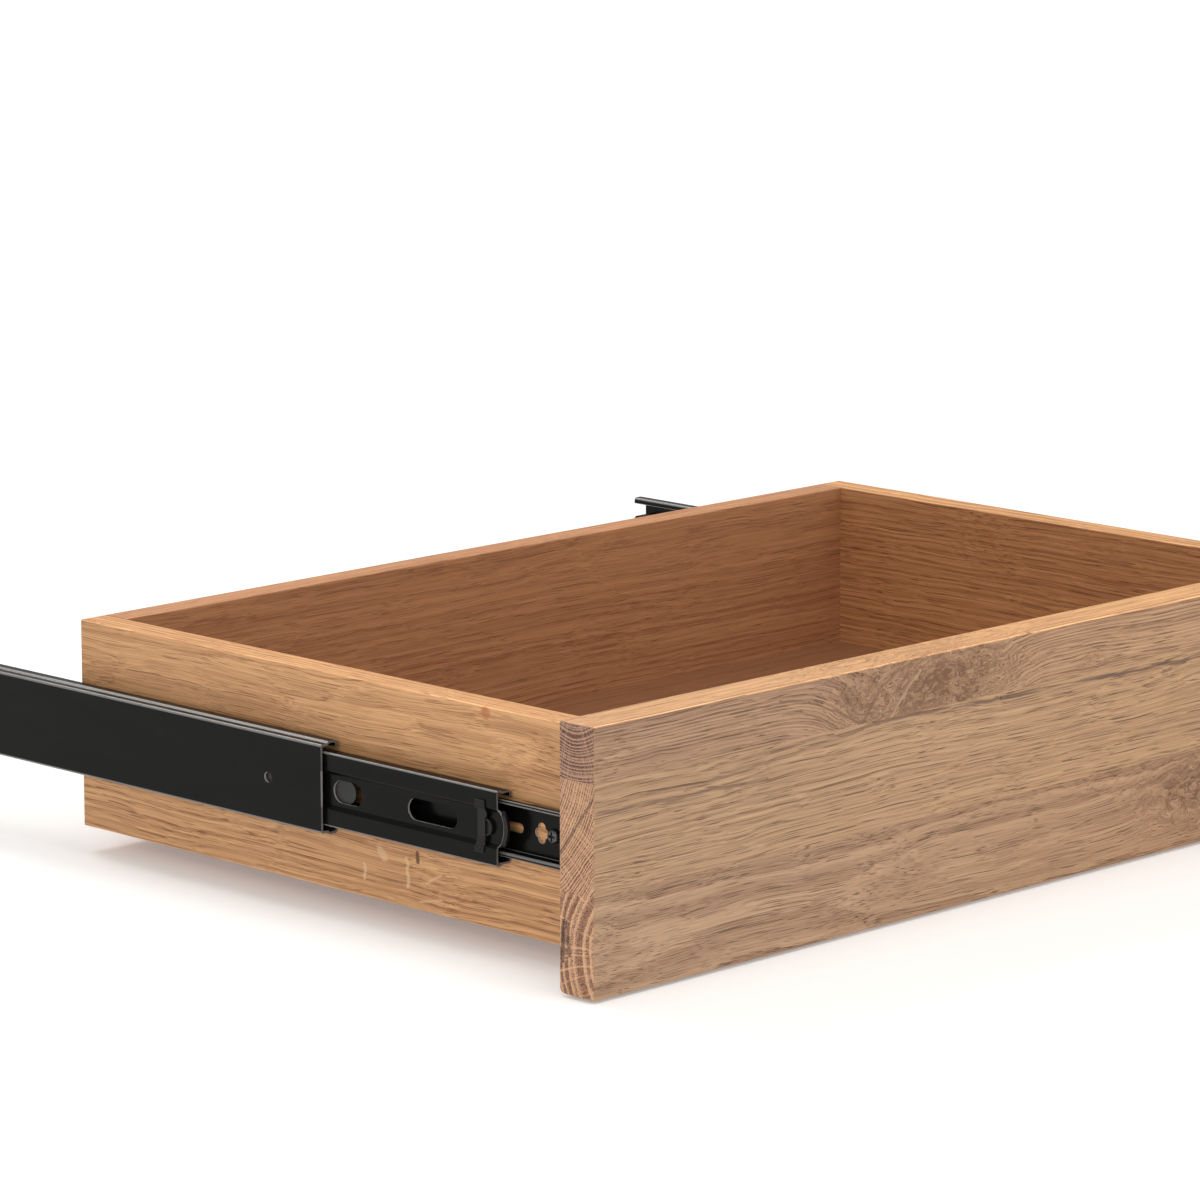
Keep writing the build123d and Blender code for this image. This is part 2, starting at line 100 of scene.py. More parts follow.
class Graph:
    """Adds shader nodes to one material and links them."""

    def __init__(self, name):
        self.material = bpy.data.materials.new(name)
        self.material.use_nodes = True
        self.tree = self.material.node_tree
        self.tree.nodes.clear()

    def node(self, kind, settings=None, sockets=None):
        made = self.tree.nodes.new(kind)
        for key, value in (settings or {}).items():
            setattr(made, key, value)
        for key, value in (sockets or {}).items():
            self.feed(made.inputs[key], value)
        return made

    def feed(self, socket, value):
        """Link a socket to another node's output, or set it to a plain value."""
        if isinstance(value, bpy.types.NodeSocket):
            self.tree.links.new(value, socket)
        else:
            socket.default_value = value

    def math(self, operation, a, b=0.0, c=0.0, clamp=False):
        settings = {"operation": operation, "use_clamp": clamp}
        return self.node("ShaderNodeMath", settings, {0: a, 1: b, 2: c}).outputs[0]

    def add(self, a, b):
        return self.math("ADD", a, b)

    def sub(self, a, b):
        return self.math("SUBTRACT", a, b)

    def mul(self, a, b):
        return self.math("MULTIPLY", a, b)

    def magnitude(self, a):
        return self.math("ABSOLUTE", a)

    def larger(self, a, b):
        return self.math("MAXIMUM", a, b)

    def clamped(self, a):
        return self.math("ADD", a, 0.0, clamp=True)

    def plus_part(self, base, part, factor):
        """The base plus a part times a factor."""
        return self.math("MULTIPLY_ADD", part, factor, base)

    def swayed(self, base, noise, reach):
        """The base moved either way by a noise, over a reach from one extreme to the other."""
        return self.plus_part(base, self.sub(noise, NOISE_MIDDLE), reach)

    def length(self, a, b):
        return self.math("SQRT", self.add(self.mul(a, a), self.mul(b, b)))

    def point(self, x, y, z):
        return self.node("ShaderNodeCombineXYZ", None, {0: x, 1: y, 2: z}).outputs[0]

    def split(self, vector):
        outputs = self.node("ShaderNodeSeparateXYZ", None, {0: vector}).outputs
        return [outputs[i] for i in range(3)]

    def noise_node(self, place, detail, roughness):
        sockets = {"Vector": place, "Scale": 1.0, "Detail": detail, "Roughness": roughness}
        return self.node("ShaderNodeTexNoise", None, sockets)

    def noise(self, place, detail=2.0, roughness=0.5):
        """Noise of cell size one, mostly between 0.25 and 0.75."""
        return self.noise_node(place, detail, roughness).outputs["Fac"]

    def three_noises(self, place, detail, roughness):
        """Three independent noises of cell size one."""
        color = self.noise_node(place, detail, roughness).outputs["Color"]
        outputs = self.node("ShaderNodeSeparateColor", None, {0: color}).outputs
        return [outputs[i] for i in range(3)]

    def speckle(self, place, cells, detail):
        """Noise with so many cells to the millimetre along x, y and z."""
        return self.noise(self.point(*[self.mul(p, c) for p, c in zip(place, cells)]), detail)

    def step(self, value, low, high, out_low=0.0, out_high=1.0):
        """A smooth step from out_low to out_high as value goes from low to high."""
        sockets = {"Value": value, "From Min": low, "From Max": high,
                   "To Min": out_low, "To Max": out_high}
        settings = {"interpolation_type": "SMOOTHSTEP"}
        return self.node("ShaderNodeMapRange", settings, sockets).outputs["Result"]

    def mix(self, factor, a, b, blend="MIX"):
        settings = {"data_type": "RGBA", "blend_type": blend, "clamp_factor": True}
        sockets = {MIX_FACTOR: factor, MIX_FIRST: a, MIX_SECOND: b}
        return self.node("ShaderNodeMix", settings, sockets).outputs[MIX_RESULT]

    def tinted(self, color, mask, tint):
        """The colour multiplied by a tint where the mask is."""
        return self.mix(mask, color, (*tint, 1.0), "MULTIPLY")

    def place(self):
        """The surface point in the part's own frame at rest, in millimetres, as x, y and z."""
        coordinates = self.node("ShaderNodeTexCoord").outputs["Object"]
        return [self.mul(part, MM_PER_M) for part in self.split(coordinates)]

    def normal(self):
        """The surface's own direction in the part's own frame at rest, as x, y and z."""
        return self.split(self.node("ShaderNodeTexCoord").outputs["Normal"])

    def finish(self, color, roughness, height=None, distance=0.0001, strength=0.5,
               metallic=0.0, specular=0.5, edge=0.0, glow=0.0):
        """Close the material: height is bump in units of distance, edge a radius in metres."""
        shader = self.node("ShaderNodeBsdfPrincipled")
        self.feed(shader.inputs["Base Color"], color)
        self.feed(shader.inputs["Roughness"], roughness)
        self.feed(shader.inputs["Metallic"], metallic)
        shader.inputs["Specular IOR Level"].default_value = specular
        shader.inputs["Emission Color"].default_value = WHITE
        self.feed(shader.inputs["Emission Strength"], glow)
        if height is not None:
            bump = self.node("ShaderNodeBump", None,
                             {"Height": height, "Distance": distance, "Strength": strength})
            if edge:
                rounded = self.node("ShaderNodeBevel", {"samples": BEVEL_SAMPLES}, {"Radius": edge})
                self.feed(bump.inputs["Normal"], rounded.outputs["Normal"])
            self.feed(shader.inputs["Normal"], bump.outputs["Normal"])
        out = self.node("ShaderNodeOutputMaterial")
        self.feed(out.inputs["Surface"], shader.outputs["BSDF"])
        return self.material


# -------------------------------------------------------------- patterns in oak


@dataclass
class Pattern:
    """A noise in the wood: its cells' size along and across the grain, in millimetres.

    The shift sets it apart from the other patterns.
    """
    along: float
    across: float
    shift: float = 0.0
    detail: float = 0.0
    roughness: float = 0.5


LONG_WAVE = Pattern(170.0, 55.0, detail=1.0)
SHORT_WAVE = Pattern(46.0, 15.0, detail=1.0)
EDDY = Pattern(16.0, 8.0, shift=3.0, detail=2.5, roughness=0.6)
FIBRE = Pattern(130.0, 0.55, detail=3.0, roughness=0.68)
STRAND = Pattern(220.0, 1.7, shift=5.0, detail=2.0)
BAND = Pattern(320.0, 10.0, shift=9.0, detail=1.0)
VESSEL = Pattern(34.0, 0.36)
CHECK = Pattern(90.0, 0.42, shift=2.0)
END_VESSEL = Pattern(6.0, 0.5, shift=4.0)
CLOUD = Pattern(15.0, 3.2, shift=7.0, detail=4.0, roughness=0.6)
END_STREAK_GAP = Pattern(9.0, 0.7, shift=3.0, detail=1.0)
STREAK_GAP = Pattern(30.0, 1.1, shift=1.0, detail=1.0)

# How far the waves carry the fibres, in shares of the board's own wander
LONG_WAVE_REACH = 2.6
SHORT_WAVE_REACH = 0.75

# Growth rings: fibres stray across them by a share of a ring, and ring by ring their widths
# and the strength of their early wood drift. A plane is where a noise is cut
RING_STRAY = 0.5
DRIFT_CELLS = 0.33
DRIFT_PLANE = 0.5
DRIFT_RINGS = 2.2
VIGOUR_CELLS = 0.73
VIGOUR_SHIFT = 2.2
VIGOUR_STEP = (0.32, 0.62, 0.45, 1.0)
EARLY_START = (0.0, 0.08)
EARLY_FULL = 0.6
EARLY_GONE = 1.5

# Faces along the grain: how dark each layer is, and where pores and checks open
BASE_DEPTH = 0.3
FIBRE_DEPTH = 1.9
STRAND_DEPTH = 1.1
BAND_DEPTH = 0.8
PORE_LIMIT = (0.0, 0.8, 0.72, 0.63)
PORE_STEP = (0.0, 0.05)
CHECK_STEP = (0.71, 0.75)

# End grain: lengths of the rays in millimetres, out from the pith and into the board
RAY_LENGTH = 45.0
RAY_DEPTH = 12.0
RAY_STEP = (0.55, 0.66)
END_BASE_DEPTH = 0.16
END_FIBRE_DEPTH = 1.2
END_EARLY_DEPTH = 0.9
END_PORE_STEP = (0.52, 0.64)
END_PORE_SHARE = (0.0, 0.6, 0.3, 0.95)
END_STREAK_STEP = (0.3, 0.55, 0.4, 1.0)

# Marks: how soon they bend and how far they stray, in millimetres, and how they fade out
STREAK_BEND = 22.0
STREAK_PLANE = 6.0
STREAK_STRAY = 4.0
STREAK_STEP = (0.3, 0.52)
FLECK_BEND = 3.5
FLECK_STRAY = 5.0
CURL_BEND = 9.0
CURL_STRAY = 2.4
STROKE_CORE = 0.3
STROKE_EDGE = 0.65
CLOUD_STEP = (0.4, 0.64, 0.18, 1.0)
CLOUD_STRENGTH = 0.85
CLOUD_BROWN = (106, 71, 46)

# Which way a surface faces, for end grain and for the painted highlights and painted shade, and the
# run along X over which the right tint comes in
END_FACING = (0.75, 0.95)
TOP_FACING = (0.6, 0.9)
INNER_FACING = (0.4, 0.6)
ARRIS_FACING = (0.2, 0.45)
RIGHT_RUN = (-250.0, 120.0)

# The wood's surface: how deep its relief is, in metres, and how rough it is
WOOD_RELIEF = 0.0001
WOOD_RELIEF_STRENGTH = 0.5
FIBRE_RELIEF = 0.4
WOOD_ROUGH = 0.42
FIBRE_ROUGH = 0.16
PORE_ROUGH = 0.2
WOOD_SPECULAR = 0.35

NO_TINT = (1.0, 1.0, 1.0)


@dataclass
class Oak:
    """How one board was sawn and what it looks like. Lengths are millimetres.

    Colours are (light wood, dark wood, open pores), in 0 to 255 display values.
    """
    name: str
    grain: str                    # the axis that the board runs along, X or Y
    pith: tuple                   # the centre of its rings, as places on the two other axes
    ring: float                   # the width of a ring
    face: tuple                   # colours along the grain
    end: tuple                    # colours of the end grain
    seed: float = 0.0             # sets the board's waves and rings apart from the others'
    wander: float = 3.0           # how far the fibres stray
    early_share: float = 0.45     # how much of a ring is porous early wood
    ring_depth: float = 0.3       # how much darker early wood is
    tone_depth: float = 0.55      # how strongly strands and bands show
    pore_amount: float = 0.6      # how strongly pores and checks show
    ray_size: float = 0.5         # the width of a ray in the end grain
    ray_amount: float = 0.4       # how strongly rays show
    arris_painted_highlight: float = 0.0            # factor of painted highlight on the eased long edges, or 0 to leave them
    top_painted_highlight: tuple = NO_TINT     # painted highlight on surfaces that face up
    right_tint: tuple = NO_TINT   # towards the right end
    inner: tuple = (2, 1)         # the axis and the sign of the way that the inner face looks
    inner_painted_shade: tuple = NO_TINT   # painted shade on the inner face
    knots: tuple = ()
    streaks: tuple = ()           # broken dark lines along the grain
    curls: tuple = ()             # curved marks around the knots
    end_streaks: tuple = ()       # dark lines in the end grain, placed by (across, height)
    flecks: tuple = ()            # crooked pale marks
    plugs: tuple = ()             # filled spots


@dataclass
class Knot:
    """A place where the fibres part and swirl: centre and reach are (along, height).

    Pinch is how much of the way fibres are drawn to the centre's height. Swirl stirs them
    and lean carries them down, both in millimetres. Shade is how cloudy the wood is.
    """
    centre: tuple
    reach: tuple
    pinch: float
    swirl: float
    shade: float
    lean: float = 0.0


@dataclass
class Stroke:
    """A straight mark from start to end, each (along, height), of some width and colour."""
    start: tuple
    end: tuple
    width: float
    strength: float
    colour: tuple


def curl(points, width, strength, colour):
    """One curved mark as strokes from point to point."""
    return tuple(Stroke(a, b, width, strength, colour) for a, b in zip(points, points[1:]))


def hill(g, along, height, centre, reach):
    """One at a centre, falling smoothly to nothing about two reaches away."""
    u = g.math("DIVIDE", g.sub(along, centre[0]), reach[0])
    v = g.math("DIVIDE", g.sub(height, centre[1]), reach[1])
    square = g.add(g.mul(u, u), g.mul(v, v))
    return g.math("POWER", math.e, g.mul(square, -1.0))


def stroke_mask(g, along, height, stroke):
    """One on a stroke, nothing away from it."""
    dx = stroke.end[0] - stroke.start[0]
    dy = stroke.end[1] - stroke.start[1]
    square = dx * dx + dy * dy
    px = g.sub(along, stroke.start[0])
    py = g.sub(height, stroke.start[1])
    reached = g.clamped(g.add(g.mul(px, dx / square), g.mul(py, dy / square)))
    off = g.length(g.sub(px, g.mul(reached, dx)), g.sub(py, g.mul(reached, dy)))
    return g.step(off, stroke.width * STROKE_CORE, stroke.width * STROKE_EDGE, 1.0, 0.0)


def draw(g, color, mask, stroke):
    """The colour with a stroke's own colour laid over it where the mask is."""
    return g.mix(g.mul(mask, stroke.strength), color, tone(*stroke.colour))


def lattice(g, place, pattern, seed=0.0):
    """A place counted in a pattern's cells: along the grain, then across it."""
    along, across, height = place
    return g.point(g.mul(along, 1 / pattern.along),
                   g.math("MULTIPLY_ADD", across, 1 / pattern.across, pattern.shift + seed),
                   g.mul(height, 1 / pattern.across))


def grown(g, place, pattern):
    """One noise of a pattern."""
    return g.noise(lattice(g, place, pattern), pattern.detail, pattern.roughness)


def grown_three(g, place, pattern, seed):
    """Three noises of a pattern, of the board's own."""
    return g.three_noises(lattice(g, place, pattern, seed), pattern.detail, pattern.roughness)


# ------------------------------------------------------------- layers of a board


def bent_fibres(g, oak, place):
    """The board's own coordinates after its fibres have wandered and gone round the knots.

    With them comes how cloudy the knots make each point.
    """
    along, across, height = place
    for wave, share in ((LONG_WAVE, LONG_WAVE_REACH), (SHORT_WAVE, SHORT_WAVE_REACH)):
        pushes = grown_three(g, place, wave, oak.seed)
        across = g.swayed(across, pushes[0], oak.wander * share)
        height = g.swayed(height, pushes[1], oak.wander * share)
    murk = 0.0
    for knot in oak.knots:
        near = hill(g, along, height, knot.centre, knot.reach)
        eddy = grown_three(g, place, EDDY, oak.seed)
        stirred = g.mul(near, knot.swirl)
        height = g.plus_part(height, g.mul(near, knot.pinch), g.sub(knot.centre[1], height))
        height = g.plus_part(height, stirred, g.sub(eddy[0], NOISE_MIDDLE))
        height = g.plus_part(height, near, knot.lean)
        across = g.plus_part(across, stirred, g.sub(eddy[1], NOISE_MIDDLE))
        murk = g.plus_part(murk, near, knot.shade)
    return (along, across, height), murk


def growth_rings(g, oak, bent, fibre):
    """How far into early wood each point is, with the ring's angle and radius."""
    across = g.sub(bent[1], oak.pith[0])
    height = g.sub(bent[2], oak.pith[1])
    radius = g.swayed(g.length(across, height), fibre, oak.ring * RING_STRAY)
    even_count = g.mul(radius, 1 / oak.ring)
    drift_place = g.point(g.mul(even_count, DRIFT_CELLS), oak.seed, DRIFT_PLANE)
    drift = g.noise(drift_place, detail=1.0)
    count = g.plus_part(even_count, drift, DRIFT_RINGS)
    ring_number = g.math("FLOOR", count)
    vigour_place = g.point(g.mul(ring_number, VIGOUR_CELLS), oak.seed + VIGOUR_SHIFT, 0.0)
    vigour = g.noise(vigour_place, detail=0.0)
    phase = g.math("FRACT", count)
    full = oak.early_share * EARLY_FULL
    gone = oak.early_share * EARLY_GONE
    early = g.mul(g.step(phase, *EARLY_START), g.step(phase, full, gone, 1.0, 0.0))
    early = g.mul(early, g.step(vigour, *VIGOUR_STEP))
    return early, g.math("ARCTAN2", height, across), radius


def long_grain(g, oak, bent, fibre, early, openings):
    """Colour along the grain: rings, strands, broad bands, then open pores and checks."""
    light, dark, pore = [tone(*c) for c in oak.face]
    depth = g.plus_part(BASE_DEPTH, early, oak.ring_depth)
    depth = g.swayed(depth, fibre, FIBRE_DEPTH)
    depth = g.swayed(depth, grown(g, bent, STRAND), STRAND_DEPTH * oak.tone_depth)
    depth = g.swayed(depth, grown(g, bent, BAND), BAND_DEPTH * oak.tone_depth)
    color = g.mix(g.clamped(depth), light, dark)
    return g.mix(g.mul(openings, oak.pore_amount), color, pore)


def end_grain(g, oak, place, bent, fibre, rings, middle):
    """Colour across the grain: darker early wood, open pores, and pale rays over the rings."""
    early, angle, radius = rings
    light, dark, pore = [tone(*c) for c in oak.end]
    depth = g.swayed(g.mul(early, END_EARLY_DEPTH), fibre, END_FIBRE_DEPTH)
    color = g.mix(g.math("ADD", depth, END_BASE_DEPTH, clamp=True), light, dark)
    pores = g.step(grown(g, bent, END_VESSEL), *END_PORE_STEP)
    color = g.mix(g.mul(pores, g.step(early, *END_PORE_SHARE)), color, pore)
    arc = g.mul(angle, math.dist(oak.pith, middle))
    ray_place = g.point(g.mul(arc, 1 / oak.ray_size), g.mul(radius, 1 / RAY_LENGTH),
                        g.mul(place[0], 1 / RAY_DEPTH))
    ray = g.noise(ray_place, detail=0.0)
    color = g.mix(g.mul(g.step(ray, *RAY_STEP), oak.ray_amount), color, light)
    for stroke in oak.end_streaks:
        broken = g.step(grown(g, place, END_STREAK_GAP), *END_STREAK_STEP)
        color = draw(g, color, g.mul(stroke_mask(g, place[1], place[2], stroke), broken), stroke)
    return color


def clouded(g, oak, color, bent, murk):
    """Knots are cloudy brown."""
    if not oak.knots:
        return color
    cloud = g.math("MULTIPLY", murk, g.step(grown(g, bent, CLOUD), *CLOUD_STEP), clamp=True)
    return g.mix(g.mul(cloud, CLOUD_STRENGTH), color, tone(*CLOUD_BROWN))


def marked(g, oak, color, place, bent):
    """Streaks, flecks, filled spots and curls, in the order that they cover each other."""
    along, _, height = place
    for stroke in oak.streaks:
        bend_place = g.point(g.mul(along, 1 / STREAK_BEND), oak.seed, STREAK_PLANE)
        bend = g.noise(bend_place, detail=2.0)
        broken = g.step(grown(g, bent, STREAK_GAP), *STREAK_STEP)
        line = stroke_mask(g, along, g.swayed(height, bend, STREAK_STRAY), stroke)
        color = draw(g, color, g.mul(line, broken), stroke)
    for stroke in oak.flecks:
        bend = g.noise(g.point(0.0, oak.seed, g.mul(height, 1 / FLECK_BEND)), detail=1.0)
        line = stroke_mask(g, g.swayed(along, bend, FLECK_STRAY), height, stroke)
        color = draw(g, color, line, stroke)
    for stroke in oak.plugs:
        color = draw(g, color, stroke_mask(g, along, height, stroke), stroke)
    for stroke in oak.curls:
        bend_place = g.point(g.mul(along, 1 / CURL_BEND), oak.seed, g.mul(height, 1 / CURL_BEND))
        bend = g.noise(bend_place, detail=1.0)
        line = stroke_mask(g, along, g.swayed(height, bend, CURL_STRAY), stroke)
        color = draw(g, color, line, stroke)
    return color


def painted_light_tints(g, oak, color, x, normal):
    """Painted light by the way a surface faces: a painted highlight on upward faces and eased long
    edges, painted shade on inner faces. Also a tint by how far to the right a point is.
    """
    if oak.top_painted_highlight != NO_TINT:
        color = g.tinted(color, g.step(normal[2], *TOP_FACING), oak.top_painted_highlight)
    if oak.right_tint != NO_TINT:
        color = g.tinted(color, g.step(x, *RIGHT_RUN), oak.right_tint)
    if oak.inner_painted_shade != NO_TINT:
        axis, sign = oak.inner
        color = g.tinted(color, g.step(g.mul(normal[axis], sign), *INNER_FACING), oak.inner_painted_shade)
    if oak.arris_painted_highlight:
        across = normal[1 if oak.grain == "X" else 0]
        turn = g.magnitude(g.mul(across, normal[2]))
        color = g.tinted(color, g.step(turn, *ARRIS_FACING), (oak.arris_painted_highlight,) * 3)
    return color


def oak_material(oak, node):
    """Solid oak whose rings, pores, fibres and rays run through the board to every face."""
    g = Graph(oak.name)
    runs_along_x = oak.grain == "X"
    low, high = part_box(node)
    middle = [MM_PER_M * (low[i] + high[i]) / 2 for i in ((1, 2) if runs_along_x else (0, 2))]
    x, y, z = g.place()
    place = (x, y, z) if runs_along_x else (y, x, z)
    normal = g.normal()

    bent, murk = bent_fibres(g, oak, place)
    fibre = grown(g, bent, FIBRE)
    rings = growth_rings(g, oak, bent, fibre)
    early = rings[0]
    pores = g.step(g.sub(grown(g, bent, VESSEL), g.step(early, *PORE_LIMIT)), *PORE_STEP)
    checks = g.step(grown(g, bent, CHECK), *CHECK_STEP)

    color = long_grain(g, oak, bent, fibre, early, g.larger(pores, checks))
    cut_end = g.step(g.magnitude(normal[0 if runs_along_x else 1]), *END_FACING)
    color = g.mix(cut_end, color, end_grain(g, oak, place, bent, fibre, rings, middle))
    color = clouded(g, oak, color, bent, murk)
    color = marked(g, oak, color, place, bent)
    # Painted highlights on upward faces and eased long edges, painted shade on inner faces
    color = painted_light_tints(g, oak, color, x, normal)

    relief = g.sub(g.mul(fibre, FIBRE_RELIEF), g.add(pores, checks))
    rough = g.plus_part(g.plus_part(WOOD_ROUGH, fibre, FIBRE_ROUGH), pores, PORE_ROUGH)
    return g.finish(color, rough, relief, WOOD_RELIEF, WOOD_RELIEF_STRENGTH,
                    specular=WOOD_SPECULAR)


# ---------------------------------------------------------------------- boards

# Marks in the wood
CURL_BROWN = (112, 82, 62)
PALE_CURL = (190, 152, 122)
PALE_FLECK = (222, 186, 146)
DARK_LINE = (88, 66, 56)
RING_BLACK = (64, 40, 34)

# Top edges are painted paler and warmer than the faces, a painted highlight from the overhead light
TOP_PAINTED_HIGHLIGHT = (1.85, 1.7, 1.38)
BOX_TOP_PAINTED_HIGHLIGHT = (1.35, 1.3, 1.2)


def top_stave():
    """The front's upper stave: fine rings, a burl left of the middle and curls about it."""
    curls = (
        curl(((-188.0, 57.0), (-168.0, 54.0), (-147.0, 45.5), (-132.0, 37.6)), 1.5, 0.55, CURL_BROWN)
        + curl(((-186.0, 51.0), (-174.0, 50.5), (-156.0, 43.0), (-148.0, 38.0)), 1.2, 0.4, CURL_BROWN)
        + curl(((-132.0, 37.0), (-126.0, 45.0), (-119.0, 53.0)), 2.4, 0.55, CURL_BROWN)
        + curl(((-112.0, 38.0), (-104.0, 47.0), (-92.0, 57.0)), 1.6, 0.5, PALE_CURL)
        + curl(((-108.0, 37.0), (-100.0, 47.0), (-88.0, 56.0)), 1.2, 0.5, CURL_BROWN))
    knots = (
        Knot((-76.0, 49.0), (38.0, 12.0), 0.6, 30.0, 1.4),
        Knot((-124.0, 42.0), (32.0, 22.0), 0.0, 8.0, 0.3, 20.0),
        Knot((-46.0, 42.0), (26.0, 22.0), 0.0, 8.0, 0.1, 12.0),
        Knot((-73.3, 50.0), (2.4, 2.0), 0.5, 2.0, 1.2),
        Knot((-62.0, 52.6), (3.4, 2.6), 0.5, 2.0, 1.2),
        Knot((-83.0, 40.5), (5.0, 3.5), 0.5, 3.0, 1.2),
        Knot((-143.0, 64.0), (4.0, 1.6), 0.5, 2.0, 0.8),
        Knot((33.0, 43.0), (10.0, 5.0), 0.5, 5.0, 0.6),
        Knot((-267.0, 43.0), (6.0, 4.0), 0.5, 3.0, 0.3))
    return Oak(
        "oak_top_stave", "X", pith=(-163.0, 77.0), ring=1.6,
        face=((186, 149, 117), (138, 102, 77), (76, 54, 40)),
        end=((190, 148, 122), (106, 72, 56), (66, 44, 36)),
        seed=1.3, wander=2.4, early_share=0.55, ring_depth=0.42, pore_amount=0.68,
        # Painted highlight on the upward faces and the eased long edges
        ray_size=0.5, ray_amount=0.35, arris_painted_highlight=1.8, top_painted_highlight=TOP_PAINTED_HIGHLIGHT,
        right_tint=(1.13, 1.1, 1.0), knots=knots, curls=curls)


def middle_stave():
    """The front's middle stave: fine rings and broken dark lines along its top."""
    end_streaks = (Stroke((-176.0, 30.5), (-156.0, 4.0), 1.6, 0.7, (78, 50, 42)),)
    streaks = (
        Stroke((-124.0, 37.4), (-34.0, 35.2), 1.8, 0.7, DARK_LINE),
        Stroke((-34.0, 35.2), (118.0, 33.4), 2.2, 0.75, DARK_LINE),
        Stroke((-306.0, 24.4), (-196.0, 22.4), 2.0, 0.5, DARK_LINE),
        Stroke((-250.0, 26.0), (-120.0, 36.5), 1.6, 0.4, DARK_LINE))
    return Oak(
        "oak_middle_stave", "X", pith=(-73.0, 70.0), ring=1.25,
        face=((195, 158, 122), (145, 110, 81), (78, 56, 41)),
        end=((216, 170, 132), (132, 90, 66), (84, 52, 38)),
        seed=4.1, wander=3.4, early_share=0.5, pore_amount=0.68, ray_size=0.45, ray_amount=0.45,
        right_tint=(1.01, 0.97, 0.9), knots=(Knot((-240.0, 11.6), (3.0, 2.0), 0.5, 1.0, 0.7),),
        streaks=streaks, end_streaks=end_streaks)


def bottom_stave():
    """The front's lower stave: wide rings, black lines in its end grain and a knot to the right."""
    end_streaks = (
        Stroke((-159.0, -27.0), (-157.8, -33.0), 2.6, 0.85, RING_BLACK),
        Stroke((-157.7, -34.5), (-157.1, -45.5), 2.6, 0.9, RING_BLACK),
        Stroke((-161.0, -34.6), (-161.5, -42.3), 2.2, 0.8, RING_BLACK))
    return Oak(
        "oak_bottom_stave", "X", pith=(-216.0, -42.0), ring=4.4,
        face=((194, 159, 127), (145, 110, 83), (76, 54, 40)),
        end=((222, 176, 136), (146, 100, 76), (84, 53, 43)),
        seed=8.6, wander=4.4, early_share=0.62, ring_depth=0.5, pore_amount=0.66,
        ray_size=1.8, ray_amount=0.6, right_tint=(1.0, 0.94, 0.86),
        knots=(Knot((116.0, -34.0), (34.0, 15.0), 0.6, 26.0, 1.5, -10.0),),
        end_streaks=end_streaks)


def left_side():
    """The box's left side: honey coloured, with pale flecks and two filled spots."""
    flecks = (
        Stroke((7.0, -35.5), (6.0, -42.0), 2.0, 0.6, PALE_FLECK),
        Stroke((-4.0, -27.0), (-6.0, -29.5), 5.0, 0.5, PALE_FLECK),
        Stroke((-21.5, -28.0), (-23.5, -41.0), 2.2, 0.6, PALE_FLECK),
        Stroke((-35.0, -37.5), (-45.0, -32.0), 1.2, 0.5, PALE_FLECK),
        Stroke((-30.0, -47.0), (-46.0, -43.5), 1.2, 0.45, PALE_FLECK))
    plugs = (
        Stroke((-29.2, -24.0), (-29.5, -28.0), 2.4, 0.85, (88, 52, 30)),
        Stroke((-75.0, 50.2), (-75.4, 49.8), 5.6, 0.75, (178, 106, 62)))
    return Oak(
        "oak_side_left", "Y", pith=(-330.0, 30.0), ring=2.6,
        face=((221, 170, 119), (150, 99, 61), (100, 62, 37)),
        end=((204, 156, 116), (146, 100, 70), (100, 64, 42)),
        # Painted highlight on the upward faces and the eased long edges, painted shade on the inner
        # face
        seed=12.4, wander=3.6, ring_depth=0.34, pore_amount=0.6, arris_painted_highlight=1.3,
        top_painted_highlight=BOX_TOP_PAINTED_HIGHLIGHT, inner=(0, 1), inner_painted_shade=(0.8, 0.74, 0.7),
        flecks=flecks, plugs=plugs)


def right_side():
    """The box's right side, of the same timber as the left."""
    return replace(
        left_side(), name="oak_side_right", pith=(300.0, 120.0), ring=3.0, seed=17.7,
        # Like the left side: painted highlight on upward faces and eased long edges, painted shade on
        # the inner face
        inner=(0, -1), inner_painted_shade=(0.82, 0.72, 0.67), flecks=(), plugs=())


def back_board():
    """The box's back."""
    return Oak(
        "oak_back", "X", pith=(140.0, 60.0), ring=3.4,
        face=((196, 144, 106), (146, 97, 65), (106, 66, 41)),
        end=((196, 146, 108), (140, 94, 66), (98, 62, 42)),
        # Painted highlight on the upward faces, painted shade on the inner face
        seed=21.0, wander=3.4, pore_amount=0.5, top_painted_highlight=BOX_TOP_PAINTED_HIGHLIGHT,
        inner=(1, -1), inner_painted_shade=(0.96, 0.91, 0.82))


def bottom_panel():
    """The panel in the bottom of the box, browner and plainer than the rest."""
    return Oak(
        "oak_panel", "X", pith=(20.0, -160.0), ring=4.0,
        face=((186, 136, 100), (140, 94, 64), (104, 68, 44)),
        end=((176, 130, 96), (130, 88, 62), (98, 62, 42)),
        seed=31.0, wander=4.0, ring_depth=0.2, tone_depth=0.3, pore_amount=0.3,
        # Painted shade on the upper face, inside the box
        inner_painted_shade=(0.68, 0.62, 0.55))


def beech_dowel():
    """The dowels that pin the box together."""
    return Oak(
        "beech_dowel", "Y", pith=(300.0, 0.0), ring=1.6,
        face=((214, 176, 140), (186, 144, 106), (150, 108, 76)),
        end=((206, 166, 130), (176, 132, 96), (140, 100, 70)),
        seed=41.0, wander=1.0, ring_depth=0.15, tone_depth=0.3, pore_amount=0.3)


# ------------------------------------------------------------- slides and trim

